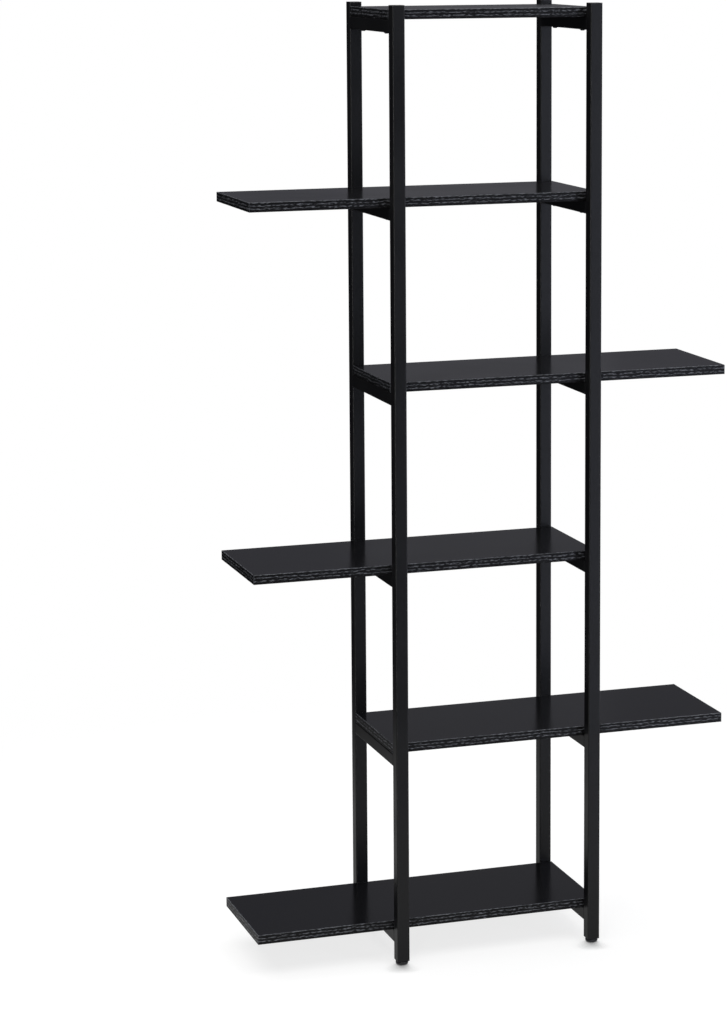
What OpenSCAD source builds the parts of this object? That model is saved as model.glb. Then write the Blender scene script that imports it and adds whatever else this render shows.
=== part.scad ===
// Staggered shelf rack for plants: two welded ladder frames of square steel tube carry
// six banded boards, one short board on top and five long ones that reach out in turn.
// Millimetres. Origin on the floor at the middle of the rack, +Z up, front towards -Y.

/* [Overall] */
// Height from the floor to the tops of the uprights
rack_h = 1500; // [1300:10:1800]
// Depth over the front and rear uprights
rack_d = 240; // [200:5:360]
// Width over the outer ends of the long shelves
rack_w = 780; // [600:10:1000]
// Width over the outer faces of the two ladder frames
tower_w = 340; // [260:5:480]

/* [Steel tube] */
// Outer side of the square tube
tube_w = 20; // [18:1:25]
// Wall thickness of the tube
tube_wall = 1.2; // [0.8:0.1:1.5]
// Outer corner radius of the tube
tube_r = 2; // [2:0.5:3]

/* [Shelves] */
// Number of shelves
shelf_count = 6; // [4:1:7]
// Height of the lowest shelf's upper face above the floor
lowest_shelf_h = 68; // [50:1:160]
// Height of the uprights' tops above the top shelf's upper face
top_stand = 7; // [2:1:30]
// Thickness of the boards
board_t = 15; // [12:1:25]
// Gap between a board's long edges and the uprights
board_gap = 2; // [0.5:0.5:5]
// Thickness of the edge bands
band_t = 1; // [0.8:0.1:2]
// Rounding of the banded edges
edge_r = 0.6; // [0.2:0.1:0.8]
// Gap at the butt joints between the bands at the board's corners
band_joint = 0.1; // [0.05:0.05:0.3]

/* [Board screws] */
// Diameter of the screw's shank
screw_d = 4; // [3:0.5:5]
// Diameter of the screw's head
screw_head_d = 8; // [7:0.5:10]
// Height of the screw's head
screw_head_h = 2.4; // [2:0.1:3.5]
// Distance from the uprights' inner faces to the screws, along the crossbars
screw_inset = 40; // [20:1:60]
// Board left above the screw's tip
screw_cover = 4; // [3:0.5:6]
// Radial clearance of the crossbar's holes round the shank
hole_clear = 0.5; // [0.2:0.1:1]
// Radial clearance of the board's pilot holes round the shank
pilot_clear = 0.05; // [0.02:0.01:0.1]

/* [Tube caps] */
// Thickness of the cap's flange on the tube's top
cap_t = 2; // [1.5:0.1:4]
// Rounding of the cap's upper edges
cap_r = 0.8; // [0.4:0.1:1.2]
// Length of the plugs of the caps and foot inserts inside the tube
plug_l = 20; // [12:1:30]
// Wall of the cap's hollow plug
plug_wall = 1.6; // [1.2:0.1:2.5]
// Clearance of the plugs to the tube's inner faces
plug_clear = 0.1; // [0.05:0.05:0.3]

/* [Levelling feet] */
// Thickness of the insert's flange under the tube's end
insert_flange_t = 1.5; // [1:0.1:3]
// Diameter of the foot pad
pad_d = 20; // [16:1:30]
// Height of the foot pad
pad_h = 5.5; // [4.5:0.5:9]
// Rounding of the pad's lower edge
pad_r = 3; // [1:0.5:4]
// Width across the corners of the pad's hexagon
hex_d = 14; // [11:0.5:15.5]
// Height of the hexagon, which bears on the insert's flange when the foot is screwed in
hex_h = 1; // [0.5:0.1:3]
// Diameter of the threaded stud
stud_d = 8; // [6:1:10]
// Length of the stud above the hexagon
stud_l = 26; // [18:1:40]
// Depth of the stud's seat in the pad
stud_seat = 4; // [2:0.5:5]
// Radial clearance of the stud in the insert's bore
stud_clear = 0.05; // [0.02:0.01:0.1]

/* [Hidden] */
$fn = 48;
// Overlap of cutting shapes past the faces that they cut
eps = 1;
// Colours as they show on the rack
powder_black = [0.15, 0.15, 0.16];
board_black = [0.20, 0.20, 0.22];
band_black = [0.12, 0.12, 0.13];
plastic_black = [0.09, 0.09, 0.10];
zinc = [0.62, 0.63, 0.65];
oxide_black = [0.13, 0.13, 0.14];

// Frame positions
bar_l = rack_d - 2 * tube_w;
frame_x = (tower_w - tube_w) / 2;
upright_y = (rack_d - tube_w) / 2;
tube_end_z = pad_h + hex_h + insert_flange_t;
tube_top_z = rack_h - cap_t;
tube_inner = tube_w - 2 * tube_wall;
tube_inner_r = tube_r - tube_wall;

// Shelf positions, counted from the top
shelf_pitch = (rack_h - top_stand - lowest_shelf_h) / (shelf_count - 1);
reach = (rack_w - tower_w) / 2;
board_d = bar_l - 2 * board_gap;
screw_y = bar_l / 2 - screw_inset;
function shelf_top(i) = rack_h - top_stand - (i - 1) * shelf_pitch;
function board_bottom(i) = shelf_top(i) - board_t;
function bar_bottom(i) = board_bottom(i) - tube_w;
function reach_side(i) = i == 1 ? 0 : (i % 2 == 0 ? -1 : 1);
function board_x0(i) = -tower_w / 2 - (reach_side(i) < 0 ? reach : 0);
function board_x1(i) = tower_w / 2 + (reach_side(i) > 0 ? reach : 0);
function board_l(i) = board_x1(i) - board_x0(i);
function board_mid(i) = (board_x0(i) + board_x1(i)) / 2;

// Corners of the two frames: name, side along X, side along Y
CORNERS = [
    ["left_front", -1, -1],
    ["left_rear", -1, 1],
    ["right_front", 1, -1],
    ["right_rear", 1, 1],
];
SIDES = [["left", -1], ["right", 1]];
SHELVES = [for (i = [1:shelf_count]) i];

// Rectangle about the origin with round corners
module round_rect(w, h, r) {
    square([w - 2 * r, h], center = true);
    square([w, h - 2 * r], center = true);
    for (x = [-1, 1], y = [-1, 1])
        translate([x * (w / 2 - r), y * (h / 2 - r)])
            circle(r);
}

// Cross-section of the steel tube
module tube_section() {
    difference() {
        round_rect(tube_w, tube_w, tube_r);
        round_rect(tube_inner, tube_inner, tube_inner_r);
    }
}

// Places children at one upright's axis on the floor
module at_corner(c) {
    translate([c[1] * frame_x, c[2] * upright_y, 0])
        children();
}

// Places children at both screws of the crossbar on one side, on the bar's lower face
module at_screws(i, side) {
    for (y = [-1, 1])
        translate([side * frame_x, y * screw_y, bar_bottom(i)])
            children();
}

// One upright: a single length of tube from the foot insert to the cap
module upright(c) {
    color(powder_black)
        at_corner(c)
            translate([0, 0, tube_end_z])
                linear_extrude(tube_top_z - tube_end_z)
                    tube_section();
}

// One crossbar, welded between the front and rear uprights and drilled for two screws
module crossbar(i, side) {
    color(powder_black)
        difference() {
            translate([side * frame_x, bar_l / 2, bar_bottom(i) + tube_w / 2])
                rotate([90, 0, 0])
                    linear_extrude(bar_l)
                        tube_section();
            at_screws(i, side)
                translate([0, 0, -eps])
                    cylinder(h = tube_w + 2 * eps, d = screw_d + 2 * hole_clear);
        }
}

// Outer form of a banded board, with its edges and corners rounded
module board_form(i) {
    translate([board_mid(i), 0, shelf_top(i) - board_t / 2])
        intersection() {
            linear_extrude(board_t + 2 * eps, center = true)
                round_rect(board_l(i), board_d, edge_r);
            rotate([90, 0, 0])
                linear_extrude(board_d + 2 * eps, center = true)
                    round_rect(board_l(i), board_t, edge_r);
            rotate([90, 0, 90])
                linear_extrude(board_l(i) + 2 * eps, center = true)
                    round_rect(board_d, board_t, edge_r);
        }
}

// One board: the core with its faced top and underside, and blind pilot holes
module shelf_board(i) {
    color(board_black)
        difference() {
            translate([board_x0(i) + band_t, -board_d / 2 + band_t, board_bottom(i)])
                cube([board_l(i) - 2 * band_t, board_d - 2 * band_t, board_t]);
            for (s = SIDES)
                at_screws(i, s[1])
                    cylinder(h = tube_w + board_t - screw_cover, d = screw_d + 2 * pilot_clear);
        }
}

// The four edge bands of one board: two long ones, and two short ones butted between them
module edge_bands(i) {
    short_l = board_d - 2 * band_t - 2 * band_joint;
    color(band_black) {
        for (y = [-board_d / 2, board_d / 2 - band_t])
            intersection() {
                board_form(i);
                translate([board_x0(i) - eps, y - (y < 0 ? eps : 0), board_bottom(i) - eps])
                    cube([board_l(i) + 2 * eps, band_t + eps, board_t + 2 * eps]);
            }
        for (x = [board_x0(i) - eps, board_x1(i) - band_t])
            intersection() {
                board_form(i);
                translate([x, -short_l / 2, board_bottom(i) - eps])
                    cube([band_t + eps, short_l, board_t + 2 * eps]);
            }
    }
}

// One screw, head down on the crossbar's lower face, with a cross recess
module board_screw() {
    shank_l = tube_w + board_t - screw_cover - screw_d / 2;
    recess_w = screw_d / 4;
    recess_l = screw_head_d * 0.55;
    rim_h = screw_head_h / 3;
    difference() {
        union() {
            translate([0, 0, -screw_head_h])
                cylinder(h = screw_head_h - rim_h, d1 = screw_head_d * 0.7, d2 = screw_head_d);
            translate([0, 0, -rim_h])
                cylinder(h = rim_h, d = screw_head_d);
            cylinder(h = shank_l, d = screw_d);
            translate([0, 0, shank_l])
                cylinder(h = screw_d / 2, d1 = screw_d, d2 = screw_d / 4);
        }
        for (a = [0, 90])
            rotate([0, 0, a])
                translate([-recess_l / 2, -recess_w / 2, -screw_head_h - eps])
                    cube([recess_l, recess_w, screw_head_h / 2 + eps]);
    }
}

// The four screws of one board, two in each crossbar
module board_screws(i) {
    color(oxide_black)
        for (s = SIDES)
            at_screws(i, s[1])
                board_screw();
}

// One cap: a flange over the tube's end with rounded upper edges, and a hollow plug
module tube_cap(c) {
    plug_w = tube_inner - 2 * plug_clear;
    hollow_w = plug_w - 2 * plug_wall;
    color(plastic_black)
        at_corner(c)
            difference() {
                union() {
                    intersection() {
                        translate([0, 0, tube_top_z])
                            linear_extrude(cap_t)
                                round_rect(tube_w, tube_w, tube_r);
                        for_cap_edges();
                    }
                    translate([0, 0, tube_top_z - plug_l])
                        linear_extrude(plug_l)
                            round_rect(plug_w, plug_w, tube_inner_r);
                }
                translate([0, 0, tube_top_z - plug_l - eps])
                    linear_extrude(plug_l + eps)
                        square(hollow_w, center = true);
            }
}

// Two crossed bars with rounded upper edges, which shape the cap's flange
module for_cap_edges() {
    bar_h = cap_t + tube_w;
    translate([0, 0, rack_h - bar_h / 2])
        intersection() {
            rotate([90, 0, 0])
                linear_extrude(tube_w, center = true)
                    round_rect(tube_w, bar_h, cap_r);
            rotate([90, 0, 90])
                linear_extrude(tube_w, center = true)
                    round_rect(tube_w, bar_h, cap_r);
        }
}

// One foot insert: a square plug with a flange under the tube's end and a bore for the stud
module foot_insert(c) {
    plug_w = tube_inner - 2 * plug_clear;
    color(plastic_black)
        at_corner(c)
            difference() {
                union() {
                    translate([0, 0, tube_end_z - insert_flange_t])
                        linear_extrude(insert_flange_t)
                            round_rect(tube_w, tube_w, tube_r);
                    translate([0, 0, tube_end_z])
                        linear_extrude(plug_l)
                            round_rect(plug_w, plug_w, tube_inner_r);
                }
                translate([0, 0, tube_end_z - insert_flange_t - eps])
                    cylinder(h = plug_l + insert_flange_t + 2 * eps, d = stud_d + 2 * stud_clear);
            }
}

// One stud, seated in the pad and running up through the insert
module foot_stud(c) {
    color(zinc)
        at_corner(c)
            translate([0, 0, pad_h + hex_h - stud_seat])
                cylinder(h = stud_seat + stud_l, d = stud_d);
}

// One pad: a round foot with a rounded lower edge and a hexagon on top
module foot_pad(c) {
    flat_d = pad_d - 2 * pad_r;
    color(plastic_black)
        at_corner(c)
            difference() {
                union() {
                    rotate_extrude() {
                        square([flat_d / 2, pad_h]);
                        translate([0, pad_r])
                            square([pad_d / 2, pad_h - pad_r]);
                        translate([flat_d / 2, pad_r])
                            circle(pad_r);
                    }
                    translate([0, 0, pad_h])
                        cylinder(h = hex_h, d = hex_d, $fn = 6);
                }
                translate([0, 0, pad_h + hex_h - stud_seat])
                    cylinder(h = stud_seat + eps, d = stud_d);
            }
}

for (c = CORNERS) {
    upright(c);
    tube_cap(c);
    foot_insert(c);
    foot_stud(c);
    foot_pad(c);
}
for (i = SHELVES) {
    for (s = SIDES)
        crossbar(i, s[1]);
    shelf_board(i);
    edge_bands(i);
    board_screws(i);
}
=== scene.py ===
import math

import bmesh
import bpy
from mathutils import Matrix, Vector


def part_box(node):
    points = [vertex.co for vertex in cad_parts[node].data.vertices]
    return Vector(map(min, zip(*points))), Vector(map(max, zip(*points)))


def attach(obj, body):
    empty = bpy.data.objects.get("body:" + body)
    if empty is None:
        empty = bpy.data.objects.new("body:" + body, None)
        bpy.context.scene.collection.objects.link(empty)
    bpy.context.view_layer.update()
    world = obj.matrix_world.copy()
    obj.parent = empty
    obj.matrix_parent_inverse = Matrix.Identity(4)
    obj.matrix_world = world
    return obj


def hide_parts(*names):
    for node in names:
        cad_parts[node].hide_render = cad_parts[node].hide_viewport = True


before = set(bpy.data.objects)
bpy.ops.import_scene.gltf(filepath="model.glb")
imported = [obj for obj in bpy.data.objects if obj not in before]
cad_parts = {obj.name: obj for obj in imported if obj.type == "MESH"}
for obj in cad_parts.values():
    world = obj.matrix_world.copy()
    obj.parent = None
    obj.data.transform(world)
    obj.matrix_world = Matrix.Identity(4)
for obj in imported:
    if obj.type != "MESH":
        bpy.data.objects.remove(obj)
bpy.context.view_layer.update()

# THE CAMERA
# It stands to the left of the rack and a little above its top, about 4.7 metres away, and looks
# slightly down, as a product photographer's camera does. The lens is shifted down a little, which
# keeps the uprights nearly parallel in the picture.
picture_w, picture_h = 727, 1024
camera_place = Vector((-1.5373, -4.4055, 1.6225))
camera_turn = math.radians(18.78)
camera_tilt = math.radians(-7.84)
camera_roll = math.radians(-0.19)
focal_px = 2979.4
optical_axis_px = (450.0, 333.0)

camera_data = bpy.data.cameras.new("product_camera")
camera_data.sensor_width = 36.0
camera_data.lens = focal_px * camera_data.sensor_width / picture_h
camera_data.shift_x = (picture_w / 2 - optical_axis_px[0]) / picture_h
camera_data.shift_y = (optical_axis_px[1] - picture_h / 2) / picture_h
camera_data.clip_end = 60.0
camera = bpy.data.objects.new("product_camera", camera_data)
bpy.context.scene.collection.objects.link(camera)
camera.matrix_world = (
    Matrix.Translation(camera_place)
    @ Matrix.Rotation(-camera_turn, 4, "Z")
    @ Matrix.Rotation(math.pi / 2 + camera_tilt, 4, "X")
    @ Matrix.Rotation(camera_roll, 4, "Z")
)
bpy.context.scene.camera = camera

# THE LIGHT
# The studio is dim, so that black steel and board stay black beside the white paper. Black cloth
# hangs on the left and grey walls stand on the right. Softboxes round the rack and a broad one high
# above it draw its edges and light the floor.


def linear(hex_colour):
    """An sRGB hex colour as linear red, green, blue and alpha."""
    channels = [int(hex_colour[i:i + 2], 16) / 255 for i in (1, 3, 5)]
    return tuple(c / 12.92 if c <= 0.04045 else ((c + 0.055) / 1.055) ** 2.4 for c in channels) + (1.0,)


def add(tree, kind, settings=None, **inputs):
    """Adds a node. Settings are its attributes. An input goes by its name, or by i and its number,
    and is given a value or the socket that feeds it."""
    node = tree.nodes.new(kind)
    for name, value in (settings or {}).items():
        setattr(node, name, value)
    for name, value in inputs.items():
        key = int(name[1:]) if name[0] == "i" and name[1:].isdigit() else name.replace("_", " ")
        socket = node.inputs[key]
        if isinstance(value, bpy.types.NodeSocket):
            tree.links.new(value, socket)
        else:
            socket.default_value = value
    return node


# What the rack mirrors: black cloth on the left, slightly blue grey walls on the right, a dim flat
# beside its left end and a paler one beside its right end. Each change of tone runs between two
# values of the direction's X or Y, which go from -1 to 1. The camera itself sees white paper.
paper_white = linear("#ffffff")
black_cloth = linear("#141416")
front_wall = linear("#585a61")
rear_wall = linear("#5a5a60")
left_flat = linear("#66686c")
right_flat = linear("#9c9ea4")
cloth_ends, walls_begin = -0.25, 0.35
front_ends, rear_begins = -0.2, 0.6
room_ends, flats_begin = 0.58, 0.9
world = bpy.data.worlds.new("studio")
bpy.context.scene.world = world
world.use_nodes = True
tree = world.node_tree
tree.nodes.clear()
ray_kind = add(tree, "ShaderNodeLightPath")
sky_direction = add(tree, "ShaderNodeTexCoord")
sky_sides = add(tree, "ShaderNodeSeparateXYZ", Vector=sky_direction.outputs["Generated"])
wall_share = add(tree, "ShaderNodeMapRange", {"interpolation_type": "SMOOTHSTEP"},
                 Value=sky_sides.outputs["X"], From_Min=cloth_ends, From_Max=walls_begin)
rear_share = add(tree, "ShaderNodeMapRange", {"interpolation_type": "SMOOTHSTEP"},
                 Value=sky_sides.outputs["Y"], From_Min=front_ends, From_Max=rear_begins)
walls = add(tree, "ShaderNodeMix", {"data_type": "RGBA"}, Factor=rear_share.outputs[0],
            i6=front_wall, i7=rear_wall)
dim_room = add(tree, "ShaderNodeMix", {"data_type": "RGBA"}, Factor=wall_share.outputs[0],
               i6=black_cloth, i7=walls.outputs[2])
sideways = add(tree, "ShaderNodeMath", {"operation": "ABSOLUTE"}, i0=sky_sides.outputs["X"])
flat_share = add(tree, "ShaderNodeMapRange", {"interpolation_type": "SMOOTHSTEP"},
                 Value=sideways.outputs[0], From_Min=room_ends, From_Max=flats_begin)
flats = add(tree, "ShaderNodeMix", {"data_type": "RGBA"}, Factor=wall_share.outputs[0],
            i6=left_flat, i7=right_flat)
lined_room = add(tree, "ShaderNodeMix", {"data_type": "RGBA"}, Factor=flat_share.outputs[0],
                 i6=dim_room.outputs[2], i7=flats.outputs[2])
seen_paper = add(tree, "ShaderNodeMix", {"data_type": "RGBA"}, Factor=ray_kind.outputs["Is Camera Ray"],
                 i6=lined_room.outputs[2], i7=paper_white)
sky = add(tree, "ShaderNodeBackground", Color=seen_paper.outputs[2], Strength=1.0)
add(tree, "ShaderNodeOutputWorld", Surface=sky.outputs[0])


def softbox(name, place, aim, width, height, watts, tint="#ffffff"):
    light = bpy.data.lights.new(name, "AREA")
    light.shape = "RECTANGLE"
    light.size, light.size_y = width, height
    light.energy = watts
    light.color = linear(tint)[:3]
    lamp = bpy.data.objects.new(name, light)
    bpy.context.scene.collection.objects.link(lamp)
    lamp.location = place
    lamp.rotation_euler = (Vector(place) - Vector(aim)).to_track_quat("Z", "Y").to_euler()
    lamp.visible_camera = False


# The strip draws a line down each corner. The softbox at the right front lifts the fronts of the
# right-hand tubes, the one at the right rear lights the back, and the dim panel behind the rack
# shows in the boards' tops.
rack_middle = (0.0, 0.0, 0.75)
softbox("left_front_strip", (-1.9, -3.0, 1.0), rack_middle, 0.3, 2.6, 24)
softbox("right_front_softbox", (1.25, -1.7, 0.8), rack_middle, 0.4, 2.4, 8.0, "#e6ebff")
softbox("right_rear_softbox", (2.6, 1.5, 1.0), rack_middle, 0.7, 2.4, 14, "#eef1ff")
softbox("rear_panel", (1.07, 3.0, 1.25), (0.0, 0.0, 1.0), 0.7, 1.6, 0.08)
softbox("top_softbox", (0.0, 0.0, 8.0), (0.0, 0.0, 0.0), 13.0, 13.0, 1200)

bpy.context.scene.view_settings.view_transform = "Standard"
bpy.context.scene.view_settings.look = "None"

# THE FLOOR
# A white paper floor under the rack, which shows only the soft shadows that the rack casts on it,
# as in a catalogue picture. It fades out into the white sweep a step away from the rack.
floor_reach = 3.0
fade_start, fade_end = 0.75, 1.5
floor_mesh = bpy.data.meshes.new("paper_floor")
outline = bmesh.new()
bmesh.ops.create_circle(outline, cap_ends=True, segments=96, radius=floor_reach)
outline.to_mesh(floor_mesh)
outline.free()
floor = bpy.data.objects.new("paper_floor", floor_mesh)
bpy.context.scene.collection.objects.link(floor)

# Matt white background paper: no gloss, and an even tone. The picture is exposed for the black
# steel, so the paper itself is blown out to white. What the steel mirrors is a glowing grey sheet
# with painted shade, darker under the rack, in place of the shadow there. Right in front of each
# foot the glow is darkened by a painted contact shade. It grows with how much the foot hides of
# what lies both to the left and to the right behind it.
paper_glow = 0.79
painted_shade_reach, painted_shade_strength = 0.038, 4.0
open_tone, shaded_tone = 0.42, 0.27
left_open_x, left_shaded_x = -0.5, 0.0
front_shaded_y, front_open_y = -0.1, -0.3
paper = bpy.data.materials.new("background_paper_matt_white")
paper.use_nodes = True
tree = paper.node_tree
tree.nodes.clear()
where = add(tree, "ShaderNodeTexCoord")
from_middle = add(tree, "ShaderNodeVectorMath", {"operation": "LENGTH"}, i0=where.outputs["Object"])
fade = add(tree, "ShaderNodeMapRange", {"interpolation_type": "SMOOTHSTEP"},
           Value=from_middle.outputs["Value"], From_Min=fade_start, From_Max=fade_end)
lit = add(tree, "ShaderNodeBsdfDiffuse", Color=linear("#8a8a89"))
# Painted contact shade: two ambient occlusion nodes look rearward, left and right, and the more open of the
# two sets how much the paper's glow is darkened in front of each foot.
left_rearward = add(tree, "ShaderNodeCombineXYZ", X=-0.37, Y=0.93, Z=0.14)
right_rearward = add(tree, "ShaderNodeCombineXYZ", X=0.85, Y=0.53, Z=0.14)
left_open = add(tree, "ShaderNodeAmbientOcclusion", {"samples": 12}, Distance=painted_shade_reach,
                Normal=left_rearward.outputs[0])
right_open = add(tree, "ShaderNodeAmbientOcclusion", {"samples": 12}, Distance=painted_shade_reach,
                 Normal=right_rearward.outputs[0])
painted_contact_shade = add(tree, "ShaderNodeMath", {"operation": "MAXIMUM"}, i0=left_open.outputs["AO"],
              i1=right_open.outputs["AO"])
painted_shade_factor = add(tree, "ShaderNodeMath", {"operation": "POWER"}, i0=painted_contact_shade.outputs[0], i1=painted_shade_strength)
glow = add(tree, "ShaderNodeMath", {"operation": "MULTIPLY"}, i0=painted_shade_factor.outputs[0], i1=paper_glow)
overexposed = add(tree, "ShaderNodeEmission", Color=paper_white, Strength=glow.outputs[0])
seen_sheet = add(tree, "ShaderNodeAddShader", i0=lit.outputs[0], i1=overexposed.outputs[0])
floor_sides = add(tree, "ShaderNodeSeparateXYZ", Vector=where.outputs["Object"])
# Painted shade: the glow that the steel mirrors is darker under the rack, and paler to its left and in front
# of it.
left_tone = add(tree, "ShaderNodeMapRange", Value=floor_sides.outputs["X"],
                From_Min=left_open_x, From_Max=left_shaded_x, To_Min=open_tone, To_Max=shaded_tone)
front_tone = add(tree, "ShaderNodeMapRange", Value=floor_sides.outputs["Y"],
                 From_Min=front_shaded_y, From_Max=front_open_y, To_Min=shaded_tone, To_Max=open_tone)
painted_shade_tone = add(tree, "ShaderNodeMath", {"operation": "MAXIMUM"}, i0=left_tone.outputs[0],
                  i1=front_tone.outputs[0])
mirrored_sheet = add(tree, "ShaderNodeEmission", Color=paper_white, Strength=painted_shade_tone.outputs[0])
seen = add(tree, "ShaderNodeLightPath")
sheet = add(tree, "ShaderNodeMixShader", Fac=seen.outputs["Is Camera Ray"], i1=mirrored_sheet.outputs[0],
            i2=seen_sheet.outputs[0])
clear = add(tree, "ShaderNodeBsdfTransparent")
faded = add(tree, "ShaderNodeMixShader", Fac=fade.outputs[0], i1=sheet.outputs[0], i2=clear.outputs[0])
add(tree, "ShaderNodeOutputMaterial", Surface=faded.outputs[0])
floor_mesh.materials.append(paper)

# THE LADDER FRAMES
# Each side is a ladder of cold-rolled square steel tube, 20 by 20 mm with a 1.2 mm wall: two
# uprights, and a crossbar under every shelf. Both ladders are welded first, and then powder coated
# in satin black as one piece.
tube_w = 0.020
corners = ("left_front", "left_rear", "right_front", "right_rear")
sides = ("left", "right")
shelves = (1, 2, 3, 4, 5, 6)


def new_material(name):
    material = bpy.data.materials.new(name)
    material.use_nodes = True
    material.node_tree.nodes.clear()
    return material, material.node_tree


def dress(node_names, material):
    """Gives CAD nodes their material."""
    for name in node_names:
        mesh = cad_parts[name].data
        mesh.materials.clear()
        mesh.materials.append(material)


# Powder coat on steel: an even satin skin over everything. Its orange peel is about 0.8 mm across
# on the real tube, and is drawn at 2.4 mm, so that it just breaks up the reflections. The gloss
# varies a little over patches 90 mm across. Nearly all of each noise pattern here lies between
# noise_low and noise_high, and the fine bumps of a skin go skin_depth deep.
peel_mm, film_mm = 2.4, 1000 / 11
coat_roughness = (0.34, 0.42)
noise_low, noise_high = 0.3, 0.7
skin_depth = 0.0002
coated_steel, tree = new_material("steel_powder_coated_satin_black")
where = add(tree, "ShaderNodeTexCoord")
peel = add(tree, "ShaderNodeTexNoise", Vector=where.outputs["Object"], Scale=1000 / peel_mm,
           Detail=2.0, Roughness=0.55)
film = add(tree, "ShaderNodeTexNoise", Vector=where.outputs["Object"], Scale=1000 / film_mm, Detail=2.0)
gloss = add(tree, "ShaderNodeMapRange", Value=film.outputs["Fac"], From_Min=noise_low,
            From_Max=noise_high, To_Min=coat_roughness[0], To_Max=coat_roughness[1])
tone = add(tree, "ShaderNodeMix", {"data_type": "RGBA"}, Factor=film.outputs["Fac"],
           i6=linear("#0d0d0f"), i7=linear("#121213"))
skin = add(tree, "ShaderNodeBump", Height=peel.outputs["Fac"], Strength=0.35, Distance=skin_depth)
coat = add(tree, "ShaderNodeBsdfPrincipled", Base_Color=tone.outputs[2], Roughness=gloss.outputs[0],
           Normal=skin.outputs[0], IOR=1.5)
add(tree, "ShaderNodeOutputMaterial", Surface=coat.outputs[0])

dress([f"upright_{corner}" for corner in corners], coated_steel)
dress([f"crossbar_{shelf}_{side}" for shelf in shelves for side in sides], coated_steel)

# THE WELDS
# A MIG bead joins each end of every crossbar to its upright: down one side, across the underside
# and up the other side, because the board lies over the top. The beads are left as laid, with
# their ripples, and are coated with the frames.
bead_side, bead_under = 0.0012, 0.0019
ripple_pitch = 0.0015
ripple_height = 0.05
steps_per_ripple = 5.0
wander_mm, thinnest, thickest = 1000 / 260, 0.9, 1.1
taper_share, end_share = 0.03, 0.35
side_sunk, side_dip, under_sunk = 0.0009, 0.0006, 0.0004
top_clear, path_bend = 0.001, 0.003
side_steps, bend_steps, under_steps, bead_facets = 8, 6, 4, 10


def group_input(group, name, kind):
    """A named input of a Geometry Nodes tree. Its identifier is what a modifier sets."""
    return group.interface.new_socket(name=name, in_out="INPUT", socket_type=kind).identifier


def piece(name, mesh):
    thing = bpy.data.objects.new(name, mesh)
    bpy.context.scene.collection.objects.link(thing)
    return thing


def grown(thing, group, values):
    """Runs a Geometry Nodes tree on a piece, and leaves its result as a plain mesh."""
    grower = thing.modifiers.new("grower", "NODES")
    grower.node_group = group
    for identifier, value in values.items():
        grower[identifier] = value
    evaluated = thing.evaluated_get(bpy.context.evaluated_depsgraph_get())
    mesh = bpy.data.meshes.new_from_object(evaluated)
    thing.modifiers.remove(grower)
    start_mesh = thing.data
    thing.data = mesh
    bpy.data.meshes.remove(start_mesh)
    mesh.name = thing.name
    return thing


beads = bpy.data.node_groups.new("weld_beads", "GeometryNodeTree")
beads.interface.new_socket(name="Geometry", in_out="OUTPUT", socket_type="NodeSocketGeometry")
group_input(beads, "Paths", "NodeSocketGeometry")
bead_pitch_id = group_input(beads, "Ripple Pitch", "NodeSocketFloat")
bead_height_id = group_input(beads, "Ripple Height", "NodeSocketFloat")
bead_seed_id = group_input(beads, "Seed", "NodeSocketInt")
bead_finish_id = group_input(beads, "Finish", "NodeSocketMaterial")
given = add(beads, "NodeGroupInput")
path = add(beads, "GeometryNodeMeshToCurve", Mesh=given.outputs["Paths"])
step = add(beads, "ShaderNodeMath", {"operation": "DIVIDE"}, i0=given.outputs["Ripple Pitch"],
           i1=steps_per_ripple)
even_path = add(beads, "GeometryNodeResampleCurve", {"mode": "LENGTH"}, Curve=path.outputs[0],
                Length=step.outputs[0])
along = add(beads, "GeometryNodeSplineParameter")
turns = add(beads, "ShaderNodeMath", {"operation": "DIVIDE"}, i0=along.outputs["Length"],
            i1=given.outputs["Ripple Pitch"])
place = add(beads, "GeometryNodeInputPosition")
unsteady = add(beads, "ShaderNodeTexNoise", {"noise_dimensions": "4D"}, Vector=place.outputs[0],
               W=given.outputs["Seed"], Scale=1000 / wander_mm)
phase = add(beads, "ShaderNodeMath", {"operation": "MULTIPLY_ADD"}, i0=turns.outputs[0], i1=2 * math.pi,
            i2=unsteady.outputs["Fac"])
wave = add(beads, "ShaderNodeMath", {"operation": "SINE"}, i0=phase.outputs[0])
ripple = add(beads, "ShaderNodeMath", {"operation": "MULTIPLY"}, i0=wave.outputs[0],
             i1=given.outputs["Ripple Height"])
wander = add(beads, "ShaderNodeMapRange", Value=unsteady.outputs["Fac"], From_Min=noise_low,
             From_Max=noise_high, To_Min=thinnest, To_Max=thickest)
thickness = add(beads, "ShaderNodeMath", {"operation": "ADD"}, i0=ripple.outputs[0], i1=wander.outputs[0])
end_near = add(beads, "ShaderNodeMath", {"operation": "PINGPONG"}, i0=along.outputs["Factor"], i1=0.5)
taper = add(beads, "ShaderNodeMapRange", {"interpolation_type": "SMOOTHERSTEP"}, Value=end_near.outputs[0],
            From_Min=0.0, From_Max=taper_share, To_Min=end_share, To_Max=1.0)
laid = add(beads, "GeometryNodeInputNamedAttribute", {"data_type": "FLOAT"}, Name="bead_size")
sized = add(beads, "ShaderNodeMath", {"operation": "MULTIPLY"}, i0=laid.outputs[0], i1=thickness.outputs[0])
tapered = add(beads, "ShaderNodeMath", {"operation": "MULTIPLY"}, i0=sized.outputs[0], i1=taper.outputs[0])
bead_round = add(beads, "GeometryNodeCurvePrimitiveCircle", Resolution=bead_facets, Radius=1.0)
swept = add(beads, "GeometryNodeCurveToMesh", Curve=even_path.outputs[0],
            Profile_Curve=bead_round.outputs[0], Scale=tapered.outputs[0], Fill_Caps=True)
smooth = add(beads, "GeometryNodeSetShadeSmooth", Geometry=swept.outputs[0])
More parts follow.
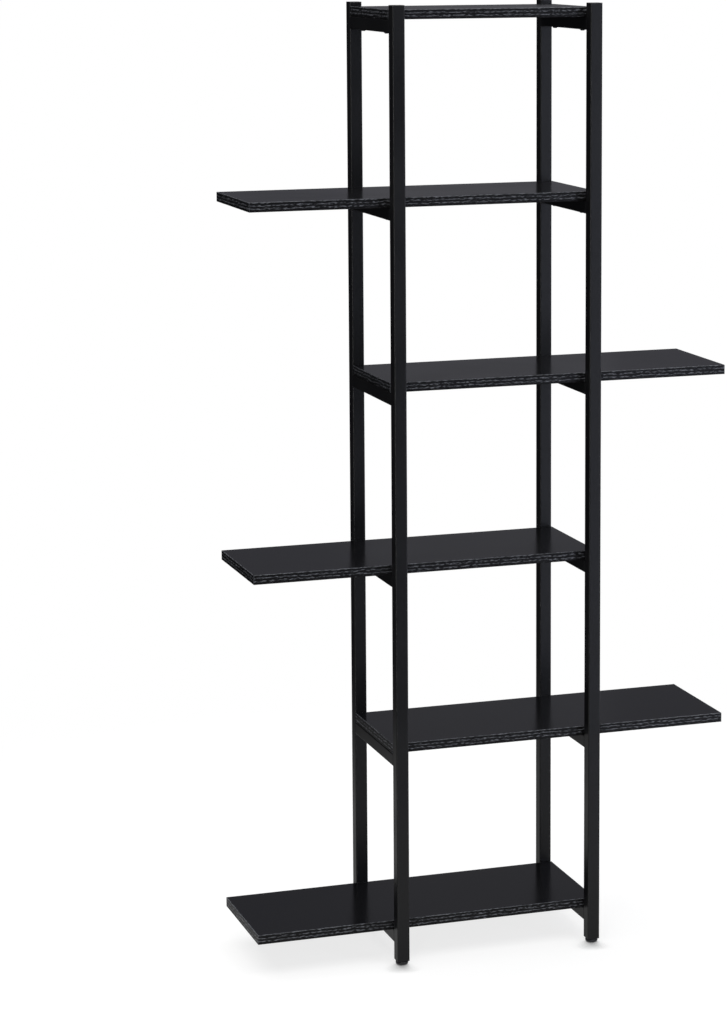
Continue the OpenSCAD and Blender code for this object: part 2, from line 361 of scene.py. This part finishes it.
whole = add(beads, "GeometryNodeRealizeInstances", Geometry=smooth.outputs[0])
finished = add(beads, "GeometryNodeSetMaterial", Geometry=whole.outputs[0], Material=given.outputs["Finish"])
add(beads, "NodeGroupOutput", Geometry=finished.outputs[0])


def bead_path(mesh, radii, bar_x, bar_z, wall_y, inward):
    """The line of one bead. It dips into the corner radius of the upright at the sides."""
    half = tube_w / 2
    side_x, side_y = half - side_sunk, wall_y - inward * side_dip
    under_z, under_y = -half + under_sunk, wall_y - inward * under_sunk
    points = []
    for k in range(side_steps + 1):
        down = k * (tube_w - top_clear - path_bend) / side_steps
        points.append((side_x, side_y, half - top_clear - down, bead_side))
    for k in range(1, bend_steps):
        share = k / bend_steps
        turn = share * math.pi / 2
        size = bead_side + (bead_under - bead_side) * share
        x = side_x - path_bend + path_bend * math.cos(turn)
        z = under_z + path_bend - path_bend * math.sin(turn)
        points.append((x, side_y + (under_y - side_y) * share, z, size))
    for k in range(under_steps + 1):
        points.append(((side_x - path_bend) * (1 - k / under_steps), under_y, under_z, bead_under))
    mirrored = [(-x, y, z, size) for x, y, z, size in points[-2::-1]]
    previous = None
    for x, y, z, size in points + mirrored:
        vertex = mesh.verts.new((bar_x + x, y, bar_z + z))
        radii.append(size)
        if previous:
            mesh.edges.new((previous, vertex))
        previous = vertex


for shelf in shelves:
    lines = bmesh.new()
    radii = []
    for side in sides:
        low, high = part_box(f"crossbar_{shelf}_{side}")
        bar_x, bar_z = (low.x + high.x) / 2, (low.z + high.z) / 2
        bead_path(lines, radii, bar_x, bar_z, low.y, 1)
        bead_path(lines, radii, bar_x, bar_z, high.y, -1)
    line_mesh = bpy.data.meshes.new(f"weld_lines_{shelf}")
    lines.to_mesh(line_mesh)
    lines.free()
    size_layer = line_mesh.attributes.new("bead_size", "FLOAT", "POINT")
    size_layer.data.foreach_set("value", radii)
    weld = grown(piece(f"weld_beads_{shelf}", line_mesh), beads, {
        bead_pitch_id: ripple_pitch, bead_height_id: ripple_height, bead_seed_id: shelf,
        bead_finish_id: coated_steel})
    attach(weld, "rack")

# THE SHELF BOARDS
# Six particle boards, 15 mm thick, faced on both sides with smooth black melamine paper pressed on
# under heat. They lie on the crossbars, between the front and rear uprights.

# Melamine facing: a hard sealed skin with a low sheen. It mirrors the uprights as soft dark
# streaks. The press plate leaves a faint lengthwise texture, about 1 mm across on the real board,
# which is drawn at 6 mm so that it can show. Wiping leaves gloss patches 110 mm across.
press_mm, wiped_mm = 6.0, 1000 / 9
press_stretch = 0.06
facing_roughness = (0.17, 0.22)
board_face, tree = new_material("melamine_facing_smooth_black")
where = add(tree, "ShaderNodeTexCoord")
lengthwise = add(tree, "ShaderNodeMapping", Vector=where.outputs["Object"], Scale=(press_stretch, 1.0, 1.0))
press = add(tree, "ShaderNodeTexNoise", Vector=lengthwise.outputs[0], Scale=1000 / press_mm, Detail=2.0)
wiped = add(tree, "ShaderNodeTexNoise", Vector=where.outputs["Object"], Scale=1000 / wiped_mm, Detail=3.0)
gloss = add(tree, "ShaderNodeMapRange", Value=wiped.outputs["Fac"], From_Min=noise_low,
            From_Max=noise_high, To_Min=facing_roughness[0], To_Max=facing_roughness[1])
skin = add(tree, "ShaderNodeBump", Height=press.outputs["Fac"], Strength=0.02, Distance=skin_depth)
facing = add(tree, "ShaderNodeBsdfPrincipled", Base_Color=linear("#0b0b0d"), Roughness=gloss.outputs[0],
             Normal=skin.outputs[0], IOR=1.5)
add(tree, "ShaderNodeOutputMaterial", Surface=facing.outputs[0])
dress([f"shelf_board_{shelf}" for shelf in shelves], board_face)

# THE EDGE BANDS
# Plastic strips, 1 mm thick, glued round the edges of each board, trimmed flush and rounded over.
# They are printed and embossed with a coarse open grain: three wavy rows of broken dark pores
# between lighter streaks, the same on every edge.
band_h = 0.015
grain_rows = 3
lowest_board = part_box("shelf_board_6")[0].z
board_pitch = (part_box("shelf_board_1")[0].z - lowest_board) / 5
board_shift, long_half_l, half_depth = 0.11, 0.28, 0.098

# Printed plastic edge band: satin black with grey strokes and black pores, a few millimetres long,
# that waver along the band. They are drawn 1.2 mm thick, somewhat coarser than the real print, so
# that they show. They split into fibres 0.35 mm thick, which show only close up. A painted
# highlight, a paler grey line, runs along the upper edge and down nearly all upright corners,
# broken where the print runs over it.
row_h = band_h / grain_rows
bend_length_mm, bend_height_mm, bend_most = 32, 1000 / 60, 0.0026
stroke_length_mm, stroke_thick_mm, stroke_weight = 7.0, 1.2, 3.4
fibre_length_mm, fibre_thick_mm, fibre_weight = 1000 / 150, 0.35, 1.9
row_weight, print_range = 0.85, 1.6
lower_edge_from, lower_edge_to, lower_edge_weight = 0.0004, 0.0022, -1.2
pore_black, ground_black, stroke_grey = linear("#020203"), linear("#0e0e10"), linear("#787a7f")
pores_end, strokes_begin, strokes_full = 0.36, 0.66, 0.92
highlight_w, painted_highlight_grey, highlight_faint, highlight_clear = 0.0009, linear("#606267"), 0.2, 0.85
highlight_break_from, highlight_break_to = 0.38, 0.62
print_roughness, emboss_depth = (0.5, 0.33), 0.00025
below_board = 0.1
band_print, tree = new_material("edge_band_printed_black_grain")
where = add(tree, "ShaderNodeTexCoord")
axes = add(tree, "ShaderNodeSeparateXYZ", Vector=where.outputs["Object"])
above = add(tree, "ShaderNodeMath", {"operation": "SUBTRACT"}, i0=axes.outputs["Z"],
            i1=lowest_board - below_board)
one_board = add(tree, "ShaderNodeMath", {"operation": "WRAP"}, i0=above.outputs[0], i1=board_pitch, i2=0.0)
up_band = add(tree, "ShaderNodeMath", {"operation": "SUBTRACT"}, i0=one_board.outputs[0], i1=below_board)
slow_line = add(tree, "ShaderNodeMapping", Vector=where.outputs["Object"],
                Scale=(1000 / bend_length_mm, 1000 / bend_length_mm, 1000 / bend_height_mm))
slow = add(tree, "ShaderNodeTexNoise", Vector=slow_line.outputs[0], Scale=1.0, Detail=3.0, Roughness=0.6)
bend = add(tree, "ShaderNodeMapRange", {"clamp": False}, Value=slow.outputs["Fac"],
           From_Min=0.0, From_Max=1.0, To_Min=-bend_most, To_Max=bend_most)
sway = add(tree, "ShaderNodeMath", {"operation": "ADD"}, i0=bend.outputs[0], i1=up_band.outputs[0])
row_phase = add(tree, "ShaderNodeMath", {"operation": "MULTIPLY"}, i0=sway.outputs[0],
                i1=2 * math.pi / row_h)
rows = add(tree, "ShaderNodeMath", {"operation": "COSINE"}, i0=row_phase.outputs[0])
stroke_line = add(tree, "ShaderNodeMapping", Vector=where.outputs["Object"],
                  Scale=(1000 / stroke_length_mm, 1000 / stroke_length_mm, 1000 / stroke_thick_mm))
stroke = add(tree, "ShaderNodeTexNoise", Vector=stroke_line.outputs[0], Scale=1.0, Detail=2.0, Roughness=0.5)
stroke_signed = add(tree, "ShaderNodeMapRange", {"clamp": False}, Value=stroke.outputs["Fac"],
                    From_Min=0.0, From_Max=1.0, To_Min=-stroke_weight, To_Max=stroke_weight)
fibre_line = add(tree, "ShaderNodeMapping", Vector=where.outputs["Object"],
                 Scale=(1000 / fibre_length_mm, 1000 / fibre_length_mm, 1000 / fibre_thick_mm))
fibre = add(tree, "ShaderNodeTexNoise", Vector=fibre_line.outputs[0], Scale=1.0, Detail=2.0, Roughness=0.6)
fibre_signed = add(tree, "ShaderNodeMapRange", {"clamp": False}, Value=fibre.outputs["Fac"],
                   From_Min=0.0, From_Max=1.0, To_Min=-fibre_weight, To_Max=fibre_weight)
streaks = add(tree, "ShaderNodeMath", {"operation": "ADD"}, i0=stroke_signed.outputs[0],
              i1=fibre_signed.outputs[0])
mixed = add(tree, "ShaderNodeMath", {"operation": "MULTIPLY_ADD"}, i0=rows.outputs[0], i1=row_weight,
            i2=streaks.outputs[0])
# Painted shade: the print is darker towards the band's lower edge, over its lowest 2 mm.
painted_lower_shade = add(tree, "ShaderNodeMapRange", Value=up_band.outputs[0], From_Min=lower_edge_from,
                 From_Max=lower_edge_to, To_Min=lower_edge_weight, To_Max=0.0)
printed = add(tree, "ShaderNodeMath", {"operation": "ADD"}, i0=mixed.outputs[0], i1=painted_lower_shade.outputs[0])
grain = add(tree, "ShaderNodeMapRange", Value=printed.outputs[0], From_Min=-print_range,
            From_Max=print_range)
tone = add(tree, "ShaderNodeValToRGB", Fac=grain.outputs[0])
ramp = tone.color_ramp
ramp.elements[0].position = pores_end
ramp.elements[0].color = pore_black
ramp.elements[1].position = strokes_full
ramp.elements[1].color = stroke_grey
middle = ramp.elements.new(strokes_begin)
middle.color = ground_black
# Painted highlight: a paler grey line along the upper edge and down the upright corners, where the rounded
# edge would catch the light. It is broken by the strokes.
upper_highlight = add(tree, "ShaderNodeMath", {"operation": "GREATER_THAN"}, i0=up_band.outputs[0],
                 i1=band_h - highlight_w)
pitch_number = add(tree, "ShaderNodeMath", {"operation": "DIVIDE"}, i0=above.outputs[0], i1=board_pitch)
board_number = add(tree, "ShaderNodeMath", {"operation": "FLOOR"}, i0=pitch_number.outputs[0])
left_or_right = add(tree, "ShaderNodeMath", {"operation": "PINGPONG"}, i0=board_number.outputs[0], i1=1.0)
board_middle = add(tree, "ShaderNodeMapRange", Value=left_or_right.outputs[0], To_Min=-board_shift,
                   To_Max=board_shift)
off_middle = add(tree, "ShaderNodeMath", {"operation": "SUBTRACT"}, i0=axes.outputs["X"],
                 i1=board_middle.outputs[0])
out_along = add(tree, "ShaderNodeMath", {"operation": "ABSOLUTE"}, i0=off_middle.outputs[0])
end_near = add(tree, "ShaderNodeMath", {"operation": "GREATER_THAN"}, i0=out_along.outputs[0],
               i1=long_half_l - highlight_w)
out_across = add(tree, "ShaderNodeMath", {"operation": "ABSOLUTE"}, i0=axes.outputs["Y"])
face_near = add(tree, "ShaderNodeMath", {"operation": "GREATER_THAN"}, i0=out_across.outputs[0],
                i1=half_depth - highlight_w)
corner_highlight = add(tree, "ShaderNodeMath", {"operation": "MULTIPLY"}, i0=end_near.outputs[0],
                  i1=face_near.outputs[0])
painted_edge_highlight = add(tree, "ShaderNodeMath", {"operation": "MAXIMUM"}, i0=upper_highlight.outputs[0],
           i1=corner_highlight.outputs[0])
highlight_breaks = add(tree, "ShaderNodeMapRange", Value=stroke.outputs["Fac"], From_Min=highlight_break_from,
                From_Max=highlight_break_to, To_Min=highlight_faint, To_Max=highlight_clear)
highlight_share = add(tree, "ShaderNodeMath", {"operation": "MULTIPLY"}, i0=painted_edge_highlight.outputs[0],
                 i1=highlight_breaks.outputs[0])
surface = add(tree, "ShaderNodeMix", {"data_type": "RGBA"}, Factor=highlight_share.outputs[0],
              i6=tone.outputs["Color"], i7=painted_highlight_grey)
relief = add(tree, "ShaderNodeBump", Height=grain.outputs[0], Strength=0.4, Distance=emboss_depth)
gloss = add(tree, "ShaderNodeMapRange", Value=grain.outputs[0], To_Min=print_roughness[0],
            To_Max=print_roughness[1])
band = add(tree, "ShaderNodeBsdfPrincipled", Base_Color=surface.outputs[2], Roughness=gloss.outputs[0],
           Normal=relief.outputs[0], IOR=1.5, Specular_IOR_Level=0.3)
add(tree, "ShaderNodeOutputMaterial", Surface=band.outputs[0])
dress([f"edge_bands_{shelf}" for shelf in shelves], band_print)

# THE TUBE CAPS AND FOOT INSERTS
# Square polyethylene mouldings pressed into the tubes: a cap with a rounded rim closes the top of
# each upright, and an insert with a flange and a bore carries the foot at the bottom.

# Moulded polyethylene: a dull black with a fine spark-eroded texture, slightly greyer than the
# coated steel. The texture is 0.3 mm across on the real cap, and is drawn at 1.2 mm to show.
spark_mm = 1.2
cap_roughness = (0.3, 0.44)
moulded, tree = new_material("polyethylene_moulded_dull_black")
where = add(tree, "ShaderNodeTexCoord")
sparked = add(tree, "ShaderNodeTexNoise", Vector=where.outputs["Object"], Scale=1000 / spark_mm,
             Detail=3.0)
skin = add(tree, "ShaderNodeBump", Height=sparked.outputs["Fac"], Strength=0.3, Distance=skin_depth)
gloss = add(tree, "ShaderNodeMapRange", Value=sparked.outputs["Fac"], From_Min=noise_low,
            From_Max=noise_high, To_Min=cap_roughness[0], To_Max=cap_roughness[1])
plastic = add(tree, "ShaderNodeBsdfPrincipled", Base_Color=linear("#1a1a1c"), Roughness=gloss.outputs[0],
              Normal=skin.outputs[0], IOR=1.51)
add(tree, "ShaderNodeOutputMaterial", Surface=plastic.outputs[0])
dress([f"tube_cap_{corner}" for corner in corners], moulded)
dress([f"foot_insert_{corner}" for corner in corners], moulded)

# THE BOARD SCREWS
# Two pan-head tapping screws hold each board from below, through each crossbar. They are rolled
# from steel wire and blackened, with a cross recess in the head.
head_r, head_h, head_segments = 0.0040, 0.0024, 32
shank_crest_r, shank_root_r, shank_pitch, shank_steps = 0.0020, 0.0015, 0.0018, 14
screw_reach = 0.031
tip_l, tip_overlap = 0.003, 0.001

# A grid, with a row of steps for each turn, is wound round the axis. Across it, in shares of the
# pitch from its middle line, the ridge is full as far as the crest's edge and gone at the root's.
crest_edge, root_edge = 0.06, 0.46
points_across, merge_within = 5, 0.000002
threads = bpy.data.node_groups.new("threaded_rod", "GeometryNodeTree")
threads.interface.new_socket(name="Geometry", in_out="OUTPUT", socket_type="NodeSocketGeometry")
thread_length_id = group_input(threads, "Length", "NodeSocketFloat")
thread_pitch_id = group_input(threads, "Pitch", "NodeSocketFloat")
crest_id = group_input(threads, "Crest Radius", "NodeSocketFloat")
root_id = group_input(threads, "Root Radius", "NodeSocketFloat")
steps_id = group_input(threads, "Steps per Turn", "NodeSocketInt")
thread_finish_id = group_input(threads, "Finish", "NodeSocketMaterial")
given = add(threads, "NodeGroupInput")
turn_count = add(threads, "ShaderNodeMath", {"operation": "DIVIDE"}, i0=given.outputs["Length"],
                 i1=given.outputs["Pitch"])
turn_total = add(threads, "ShaderNodeMath", {"operation": "ADD"}, i0=turn_count.outputs[0], i1=1.0)
whole_turns = add(threads, "ShaderNodeMath", {"operation": "CEIL"}, i0=turn_total.outputs[0])
step_total = add(threads, "ShaderNodeMath", {"operation": "MULTIPLY_ADD"}, i0=whole_turns.outputs[0],
                 i1=given.outputs["Steps per Turn"], i2=1.0)
flank = add(threads, "GeometryNodeMeshGrid", Size_X=1.0, Size_Y=1.0, Vertices_X=step_total.outputs[0],
            Vertices_Y=points_across)
place = add(threads, "GeometryNodeInputPosition")
axes = add(threads, "ShaderNodeSeparateXYZ", Vector=place.outputs[0])
turns_in = add(threads, "ShaderNodeMath", {"operation": "ADD"}, i0=axes.outputs["X"], i1=0.5)
turns_done = add(threads, "ShaderNodeMath", {"operation": "MULTIPLY"}, i0=turns_in.outputs[0],
                 i1=whole_turns.outputs[0])
angle = add(threads, "ShaderNodeMath", {"operation": "MULTIPLY"}, i0=turns_done.outputs[0], i1=2 * math.pi)
across = add(threads, "ShaderNodeMath", {"operation": "ADD"}, i0=axes.outputs["Y"], i1=-0.5)
rise = add(threads, "ShaderNodeMath", {"operation": "ADD"}, i0=turns_done.outputs[0], i1=across.outputs[0])
height = add(threads, "ShaderNodeMath", {"operation": "MULTIPLY"}, i0=rise.outputs[0],
             i1=given.outputs["Pitch"])
cut_height = add(threads, "ShaderNodeClamp", Value=height.outputs[0], Min=0.0, Max=given.outputs["Length"])
to_crest = add(threads, "ShaderNodeMath", {"operation": "ABSOLUTE"}, i0=axes.outputs["Y"])
depth = add(threads, "ShaderNodeMapRange", Value=to_crest.outputs[0], From_Min=crest_edge,
            From_Max=root_edge, To_Min=1.0, To_Max=0.0)
radius_span = add(threads, "ShaderNodeMath", {"operation": "SUBTRACT"}, i0=given.outputs["Crest Radius"],
                  i1=given.outputs["Root Radius"])
radius = add(threads, "ShaderNodeMath", {"operation": "MULTIPLY_ADD"}, i0=depth.outputs[0],
             i1=radius_span.outputs[0], i2=given.outputs["Root Radius"])
cosine = add(threads, "ShaderNodeMath", {"operation": "COSINE"}, i0=angle.outputs[0])
sine = add(threads, "ShaderNodeMath", {"operation": "SINE"}, i0=angle.outputs[0])
x = add(threads, "ShaderNodeMath", {"operation": "MULTIPLY"}, i0=radius.outputs[0], i1=cosine.outputs[0])
y = add(threads, "ShaderNodeMath", {"operation": "MULTIPLY"}, i0=radius.outputs[0], i1=sine.outputs[0])
wound = add(threads, "ShaderNodeCombineXYZ", X=x.outputs[0], Y=y.outputs[0], Z=cut_height.outputs[0])
ridge = add(threads, "GeometryNodeSetPosition", Geometry=flank.outputs["Mesh"], Position=wound.outputs[0])
core = add(threads, "GeometryNodeMeshCylinder", {"fill_type": "NGON"},
           Vertices=given.outputs["Steps per Turn"], Radius=given.outputs["Root Radius"],
           Depth=given.outputs["Length"])
half_length = add(threads, "ShaderNodeMath", {"operation": "MULTIPLY"}, i0=given.outputs["Length"], i1=0.5)
lift = add(threads, "ShaderNodeCombineXYZ", Z=half_length.outputs[0])
core_up = add(threads, "GeometryNodeTransform", Geometry=core.outputs["Mesh"], Translation=lift.outputs[0])
both = add(threads, "GeometryNodeJoinGeometry")
threads.links.new(ridge.outputs[0], both.inputs[0])
threads.links.new(core_up.outputs[0], both.inputs[0])
whole = add(threads, "GeometryNodeRealizeInstances", Geometry=both.outputs[0])
merged = add(threads, "GeometryNodeMergeByDistance", Geometry=whole.outputs[0], Distance=merge_within)
finished = add(threads, "GeometryNodeSetMaterial", Geometry=merged.outputs[0],
               Material=given.outputs["Finish"])
add(threads, "NodeGroupOutput", Geometry=finished.outputs[0])


def lathed(mesh, profile, segments, centre=(0.0, 0.0, 0.0)):
    """Turns a line of (radius, height) points round the upright axis into a closed skin."""
    rings = []
    for radius, height in profile:
        if radius == 0.0:
            rings.append([mesh.verts.new((centre[0], centre[1], centre[2] + height))])
            continue
        ring = []
        for k in range(segments):
            turn = 2 * math.pi * k / segments
            ring.append(mesh.verts.new((centre[0] + radius * math.cos(turn),
                                        centre[1] + radius * math.sin(turn), centre[2] + height)))
        rings.append(ring)
    for lower, upper in zip(rings, rings[1:]):
        for k in range(segments):
            j = (k + 1) % segments
            if len(lower) == 1:
                mesh.faces.new((lower[0], upper[j], upper[k]))
            elif len(upper) == 1:
                mesh.faces.new((lower[k], lower[j], upper[0]))
            else:
                mesh.faces.new((lower[k], lower[j], upper[j], upper[k]))


def mesh_from(build, name):
    mesh = bpy.data.meshes.new(name)
    bmesh.ops.recalc_face_normals(build, faces=build.faces)
    build.to_mesh(mesh)
    build.free()
    return mesh


# The pan head, seen from below: a low dome with a rounded rim. Its cross recess is cut out.
head = bmesh.new()
dome = [(0.0, -head_h), (0.0012, -head_h), (0.0022, -head_h + 0.00006), (0.0029, -head_h + 0.0003),
        (0.0034, -head_h + 0.0007), (0.0038, -head_h + 0.0013), (head_r, -0.0006), (head_r, -0.0001),
        (0.0039, 0.0), (0.0, 0.0)]
lathed(head, dome, head_segments)
recess_half_l, recess_half_w, recess_depth = 0.0021, 0.0005, 0.0013
tip_share_l, tip_share_w, mouth_share, mouth_clear = 0.35, 0.7, 1.25, 0.0004
head_piece = piece("pan_head", mesh_from(head, "pan_head"))
cutter = bmesh.new()
for swap in (False, True):
    ring_top, ring_low = [], []
    for sx, sy in ((-1, -1), (1, -1), (1, 1), (-1, 1)):
        a, b = sx * recess_half_l, sy * recess_half_w
        c, d = sx * recess_half_l * tip_share_l, sy * recess_half_w * tip_share_w
        if swap:
            a, b, c, d = b, a, d, c
        ring_low.append(cutter.verts.new((a * mouth_share, b * mouth_share, -head_h - mouth_clear)))
        ring_top.append(cutter.verts.new((c, d, -head_h + recess_depth)))
    cutter.faces.new(ring_low)
    cutter.faces.new(ring_top)
    for k in range(4):
        j = (k + 1) % 4
        cutter.faces.new((ring_low[k], ring_low[j], ring_top[j], ring_top[k]))
cutter_piece = piece("cross_cutter", mesh_from(cutter, "cross_cutter"))
cut = head_piece.modifiers.new("recess", "BOOLEAN")
cut.operation = "DIFFERENCE"
cut.solver = "EXACT"
cut.use_self = True
cut.object = cutter_piece
recessed = bpy.data.meshes.new_from_object(head_piece.evaluated_get(bpy.context.evaluated_depsgraph_get()))
bpy.data.objects.remove(head_piece)
bpy.data.objects.remove(cutter_piece)

# Blackened steel: a dark oiled metal, with the oil film uneven over about a millimetre.
oil_mm = 1000 / 900
steel_roughness = (0.3, 0.5)
black_steel, tree = new_material("steel_wire_rolled_black_oxide")
where = add(tree, "ShaderNodeTexCoord")
oil = add(tree, "ShaderNodeTexNoise", Vector=where.outputs["Object"], Scale=1000 / oil_mm, Detail=3.0)
gloss = add(tree, "ShaderNodeMapRange", Value=oil.outputs["Fac"], From_Min=noise_low,
            From_Max=noise_high, To_Min=steel_roughness[0], To_Max=steel_roughness[1])
tone = add(tree, "ShaderNodeMix", {"data_type": "RGBA"}, Factor=oil.outputs["Fac"],
           i6=linear("#1b1b1e"), i7=linear("#38383b"))
metal = add(tree, "ShaderNodeBsdfPrincipled", Base_Color=tone.outputs[2], Metallic=1.0,
            Roughness=gloss.outputs[0])
add(tree, "ShaderNodeOutputMaterial", Surface=metal.outputs[0])

thread_piece = grown(piece("screw_thread", bpy.data.meshes.new("screw_thread")), threads, {
    thread_length_id: screw_reach - tip_l, thread_pitch_id: shank_pitch, crest_id: shank_crest_r,
    root_id: shank_root_r, steps_id: shank_steps, thread_finish_id: black_steel})
screw = bmesh.new()
screw.from_mesh(recessed)
screw.from_mesh(thread_piece.data)
lathed(screw, [(0.0, screw_reach - tip_l - tip_overlap), (shank_root_r, screw_reach - tip_l - tip_overlap),
               (shank_root_r, screw_reach - tip_l), (0.0, screw_reach)], shank_steps)
screw_mesh = bpy.data.meshes.new("board_screw")
screw.to_mesh(screw_mesh)
screw.free()
screw_model = piece("board_screw", screw_mesh)
bpy.data.objects.remove(thread_piece)

screw_sets = bpy.data.node_groups.new("screw_sets", "GeometryNodeTree")
screw_sets.interface.new_socket(name="Geometry", in_out="OUTPUT", socket_type="NodeSocketGeometry")
group_input(screw_sets, "Places", "NodeSocketGeometry")
screw_id = group_input(screw_sets, "Screw", "NodeSocketObject")
turn_seed_id = group_input(screw_sets, "Turn Seed", "NodeSocketInt")
screw_finish_id = group_input(screw_sets, "Finish", "NodeSocketMaterial")
given = add(screw_sets, "NodeGroupInput")
one_screw = add(screw_sets, "GeometryNodeObjectInfo", Object=given.outputs["Screw"])
driven = add(screw_sets, "FunctionNodeRandomValue", {"data_type": "FLOAT"}, i2=0.0, i3=2 * math.pi,
             Seed=given.outputs["Turn Seed"])
turned = add(screw_sets, "ShaderNodeCombineXYZ", Z=driven.outputs[1])
stand = add(screw_sets, "GeometryNodeInstanceOnPoints", Points=given.outputs["Places"],
            Instance=one_screw.outputs["Geometry"], Rotation=turned.outputs[0])
whole = add(screw_sets, "GeometryNodeRealizeInstances", Geometry=stand.outputs[0])
finished = add(screw_sets, "GeometryNodeSetMaterial", Geometry=whole.outputs[0],
               Material=given.outputs["Finish"])
add(screw_sets, "NodeGroupOutput", Geometry=finished.outputs[0])

for shelf in shelves:
    low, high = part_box(f"board_screws_{shelf}")
    places = bpy.data.meshes.new(f"screw_places_{shelf}")
    places.from_pydata([(x, y, low.z + head_h) for x in (low.x + head_r, high.x - head_r)
                        for y in (low.y + head_r, high.y - head_r)], [], [])
    screws = grown(piece(f"pan_head_screws_{shelf}", places), screw_sets, {
        screw_id: screw_model, turn_seed_id: shelf, screw_finish_id: black_steel})
    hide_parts(f"board_screws_{shelf}")
    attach(screws, "rack")
bpy.data.objects.remove(screw_model)

# THE LEVELLING FEET
# Each foot is an M8 stud, rolled and zinc plated, moulded into a round nylon pad with a hexagon for
# the spanner. It screws up and down in the insert, to level the rack.
stud_r, stud_root_r, stud_pitch, stud_steps = 0.0040, 0.00335, 0.00125, 28
pad_r, pad_round, pad_h = 0.010, 0.003, 0.0055
pad_segments, round_steps, shoulder_steps = 64, 8, 6
shoulder_r, shoulder_drop = 0.0076, 0.0014
hollow_r, hollow_edge_r, hollow_h = 0.0045, 0.0049, 0.0005
hexagon_r, hexagon_top_r, hexagon_bevel, hexagon_sunk = 0.0070, 0.0067, 0.0002, 0.001

# Zinc plate on steel: bright and faintly blue, with duller patches 2.5 mm across.
patch_mm = 2.5
zinc_roughness = (0.22, 0.42)
zinc, tree = new_material("steel_rolled_zinc_plated")
where = add(tree, "ShaderNodeTexCoord")
patches = add(tree, "ShaderNodeTexNoise", Vector=where.outputs["Object"], Scale=1000 / patch_mm, Detail=3.0)
gloss = add(tree, "ShaderNodeMapRange", Value=patches.outputs["Fac"], From_Min=noise_low,
            From_Max=noise_high, To_Min=zinc_roughness[0], To_Max=zinc_roughness[1])
tone = add(tree, "ShaderNodeMix", {"data_type": "RGBA"}, Factor=patches.outputs["Fac"],
           i6=linear("#a7adb4"), i7=linear("#c9ccce"))
metal = add(tree, "ShaderNodeBsdfPrincipled", Base_Color=tone.outputs[2], Metallic=1.0,
            Roughness=gloss.outputs[0])
add(tree, "ShaderNodeOutputMaterial", Surface=metal.outputs[0])

# Moulded nylon: black and satin. Its lower rim is rubbed paler and duller, in scuffs 1.4 mm across; the
# paler tone there is partly a painted highlight of the floor's light on the rim.
scuff_mm, rubbed_and_lit_h = 1000 / 700, 0.003
nylon_roughness = (0.35, 0.55)
nylon, tree = new_material("nylon_moulded_satin_black")
where = add(tree, "ShaderNodeTexCoord")
axes = add(tree, "ShaderNodeSeparateXYZ", Vector=where.outputs["Object"])
scuffs = add(tree, "ShaderNodeTexNoise", Vector=where.outputs["Object"], Scale=1000 / scuff_mm, Detail=3.0)
rim = add(tree, "ShaderNodeMapRange", Value=axes.outputs["Z"], From_Min=0.0, From_Max=rubbed_and_lit_h,
          To_Min=1.0, To_Max=0.0)
rubbed_and_lit = add(tree, "ShaderNodeMath", {"operation": "MULTIPLY"}, i0=rim.outputs[0], i1=scuffs.outputs["Fac"])
tone = add(tree, "ShaderNodeMix", {"data_type": "RGBA"}, Factor=rubbed_and_lit.outputs[0],
           i6=linear("#27272a"), i7=linear("#48484a"))
gloss = add(tree, "ShaderNodeMapRange", Value=rubbed_and_lit.outputs[0], To_Min=nylon_roughness[0],
            To_Max=nylon_roughness[1])
plastic = add(tree, "ShaderNodeBsdfPrincipled", Base_Color=tone.outputs[2], Roughness=gloss.outputs[0],
              IOR=1.53)
add(tree, "ShaderNodeOutputMaterial", Surface=plastic.outputs[0])

for corner in corners:
    pad_low, pad_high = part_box(f"foot_pad_{corner}")
    stud_low, stud_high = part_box(f"foot_stud_{corner}")
    centre = ((pad_low.x + pad_high.x) / 2, (pad_low.y + pad_high.y) / 2, 0.0)

    stud = piece(f"threaded_stud_{corner}", bpy.data.meshes.new(f"threaded_stud_{corner}"))
    grown(stud, threads, {
        thread_length_id: stud_high.z - stud_low.z, thread_pitch_id: stud_pitch, crest_id: stud_r,
        root_id: stud_root_r, steps_id: stud_steps, thread_finish_id: zinc})
    stud.data.transform(Matrix.Translation((centre[0], centre[1], stud_low.z)))
    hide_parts(f"foot_stud_{corner}")
    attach(stud, f"foot_{corner}")

    pad = bmesh.new()
    profile = [(0.0, hollow_h), (hollow_r, hollow_h), (hollow_edge_r, 0.0), (pad_r - pad_round, 0.0)]
    for k in range(1, round_steps + 1):
        turn = k / round_steps * math.pi / 2
        profile.append((pad_r - pad_round + pad_round * math.sin(turn),
                        pad_round - pad_round * math.cos(turn)))
    for k in range(shoulder_steps + 1):
        turn = k / shoulder_steps * math.pi / 2
        profile.append((shoulder_r + (pad_r - shoulder_r) * math.cos(turn),
                        pad_h - shoulder_drop * (1 - math.sin(turn))))
    profile.append((0.0, pad_h))
    lathed(pad, profile, pad_segments, centre)
    hexagon = [(0.0, pad_h - hexagon_sunk), (hexagon_r, pad_h - hexagon_sunk),
               (hexagon_r, pad_high.z - hexagon_bevel), (hexagon_top_r, pad_high.z), (0.0, pad_high.z)]
    lathed(pad, hexagon, 6, centre)
    pad_piece = piece(f"moulded_pad_{corner}", mesh_from(pad, f"moulded_pad_{corner}"))
    pad_piece.data.materials.append(nylon)
    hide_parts(f"foot_pad_{corner}")
    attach(pad_piece, f"foot_{corner}")
